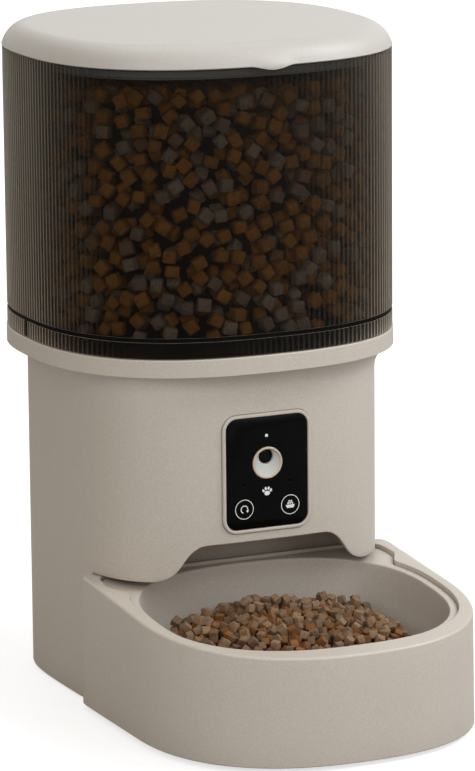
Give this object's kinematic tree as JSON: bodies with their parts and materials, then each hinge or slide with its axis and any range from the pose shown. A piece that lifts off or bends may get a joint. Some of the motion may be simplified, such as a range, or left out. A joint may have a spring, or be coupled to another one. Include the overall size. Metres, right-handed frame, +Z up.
{
  "type": "pet feeder with camera",
  "caption": "Column-shaped automatic dry-food feeder: smoked hopper under a flush lid, flared housing with a camera panel, and a bowl in a tray in front.",
  "frame": {"origin": "on the floor, at the centre of the footprint", "axes": "+Z up, -Y to the front, where the bowl stands, +X to the right seen from the front"},
  "size_m": [0.1968, 0.3, 0.351],
  "materials": {
    "warm_white": "fine satin texture, warm light grey",
    "lid_white": "fine satin texture, slightly lighter",
    "smoke": "smoked clear plastic with fine vertical ribs",
    "dark_plastic": "satin black",
    "grey_plastic": "plain",
    "silicone": "soft matt",
    "rubber": "matt",
    "panel_black": "gloss black",
    "lens_black": "coated lens",
    "steel": "plated",
    "brass": "turned",
    "nylon": "moulded nylon",
    "board_green": "solder mask",
    "light_guide": "clear",
    "dry_food": "baked, rough"
  },
  "bodies": {
    "column": {"main_housing": "warm_white", "hopper_funnel": "dark_plastic", "rotor_chamber": "grey_plastic", "shaft_bush": "brass", "chute": "warm_white", "carrier_plate": "grey_plastic", "plate_screw_1": "steel", "plate_screw_2": "steel", "plate_screw_3": "steel", "plate_screw_4": "steel", "gearbox_case": "grey_plastic", "gearbox_cover": "grey_plastic", "idler_axle": "steel", "motor": "steel", "base_plate": "warm_white", "base_screw_1": "steel", "base_screw_2": "steel", "base_screw_3": "steel", "base_screw_4": "steel", "base_foot_1": "rubber", "base_foot_2": "rubber", "base_foot_3": "rubber", "base_foot_4": "rubber", "battery_bay": "grey_plastic", "battery_spring_1": "steel", "battery_spring_2": "steel", "battery_spring_3": "steel", "battery_contact": "steel", "speaker": "dark_plastic", "panel_bezel": "warm_white", "panel_glass": "panel_black", "camera_ring": "lid_white", "lens_barrel": "dark_plastic", "lens_glass": "lens_black", "panel_board": "board_green", "status_light": "light_guide", "back_cover": "warm_white", "cover_screw_1": "steel", "cover_screw_2": "steel", "main_board": "board_green", "power_inlet": "dark_plastic", "mouth_hood": "warm_white"},
    "tank": {"hopper": "smoke"},
    "lid": {"lid": "lid_white", "lid_seal": "silicone", "desiccant_box": "warm_white"},
    "desiccant_lock": {"desiccant_cover": "warm_white"},
    "rotor": {"rotor_hub": "warm_white", "rotor_paddles": "silicone", "drive_shaft": "steel", "output_gear": "nylon"},
    "idler": {"idler_gear": "nylon"},
    "motor_drive": {"motor_pinion": "brass"},
    "left_button": {"left_button": "panel_black"},
    "right_button": {"right_button": "panel_black"},
    "tray": {"tray": "warm_white", "tray_pad_left": "rubber", "tray_pad_right": "rubber", "bowl": "warm_white"},
    "battery_door": {"battery_door": "warm_white"}
  },
  "joints": [
    {"name": "hopper_lift", "type": "slide", "parent": "column", "child": "tank", "axis": [0, 0, 1], "range_m": [0, 0.05]},
    {"name": "lid_lift", "type": "slide", "parent": "tank", "child": "lid", "axis": [0, 0, 1], "range_m": [0, 0.04]},
    {"name": "desiccant_twist", "type": "hinge", "parent": "lid", "child": "desiccant_lock", "pos_m": [0, 0.05408, 0.3317], "axis": [0, 0, 1], "range_deg": [0, 30]},
    {"name": "rotor_spin", "type": "hinge", "parent": "column", "child": "rotor", "pos_m": [0, 0.06808, 0.1487], "axis": [0, 0, 1], "continuous": true},
    {"name": "idler_spin", "type": "hinge", "parent": "column", "child": "idler", "pos_m": [0.00945, 0.08445, 0.1239], "axis": [0, 0, 1], "continuous": true},
    {"name": "motor_spin", "type": "hinge", "parent": "column", "child": "motor_drive", "pos_m": [0, 0.10082, 0.1314], "axis": [0, 0, 1], "continuous": true},
    {"name": "left_button_press", "type": "slide", "parent": "column", "child": "left_button", "axis": [0, 1, 0], "range_m": [0, 0.0008], "stiffness_N_per_m": 800, "springref_m": -0.0005},
    {"name": "right_button_press", "type": "slide", "parent": "column", "child": "right_button", "axis": [0, 1, 0], "range_m": [0, 0.0008], "stiffness_N_per_m": 800, "springref_m": -0.0005},
    {"name": "tray_slide", "type": "slide", "parent": "column", "child": "tray", "axis": [0, -1, 0], "range_m": [0, 0.06]},
    {"name": "battery_door_slide", "type": "slide", "parent": "column", "child": "battery_door", "axis": [0, -1, 0], "range_m": [0, 0.006]}
  ],
  "couplings": [
    {"joint": "idler_spin", "follows": "rotor_spin", "ratio": -2.5},
    {"joint": "motor_spin", "follows": "rotor_spin", "ratio": 6.25}
  ]
}
